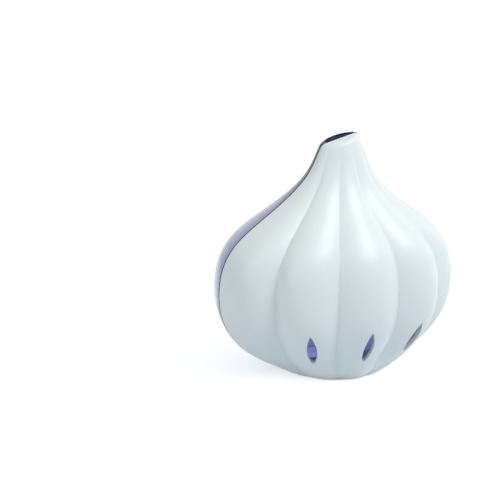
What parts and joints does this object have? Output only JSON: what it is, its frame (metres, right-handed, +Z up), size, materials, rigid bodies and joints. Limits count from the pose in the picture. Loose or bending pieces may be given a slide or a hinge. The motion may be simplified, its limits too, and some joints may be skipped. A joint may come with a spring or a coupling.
{
  "type": "garlic keeper",
  "caption": "Garlic-bulb-shaped container split down its axis: a white lobed lid with leaf-shaped vents presses onto a smooth translucent base.",
  "frame": {"origin": "centre of the flat foot on the root end, on the seam between the two shells", "axes": "+Z up the bulb's axis from the foot to the cut stalk, +Y square to the seam from the lid towards the base's back, +X across the seam towards the high side of the slanted stalk end"},
  "size_m": [0.133, 0.0964, 0.1266],
  "materials": {
    "lid_plastic": "opaque white moulded plastic, glossy",
    "base_plastic": "translucent periwinkle-blue moulded plastic, glossy"
  },
  "bodies": {
    "base": {"base_shell": "base_plastic"},
    "lid": {"lid_shell": "lid_plastic"}
  },
  "joints": [
    {"name": "lid_release", "type": "slide", "parent": "base", "child": "lid", "axis": [0, -1, 0], "range_m": [0, 0.08]}
  ]
}
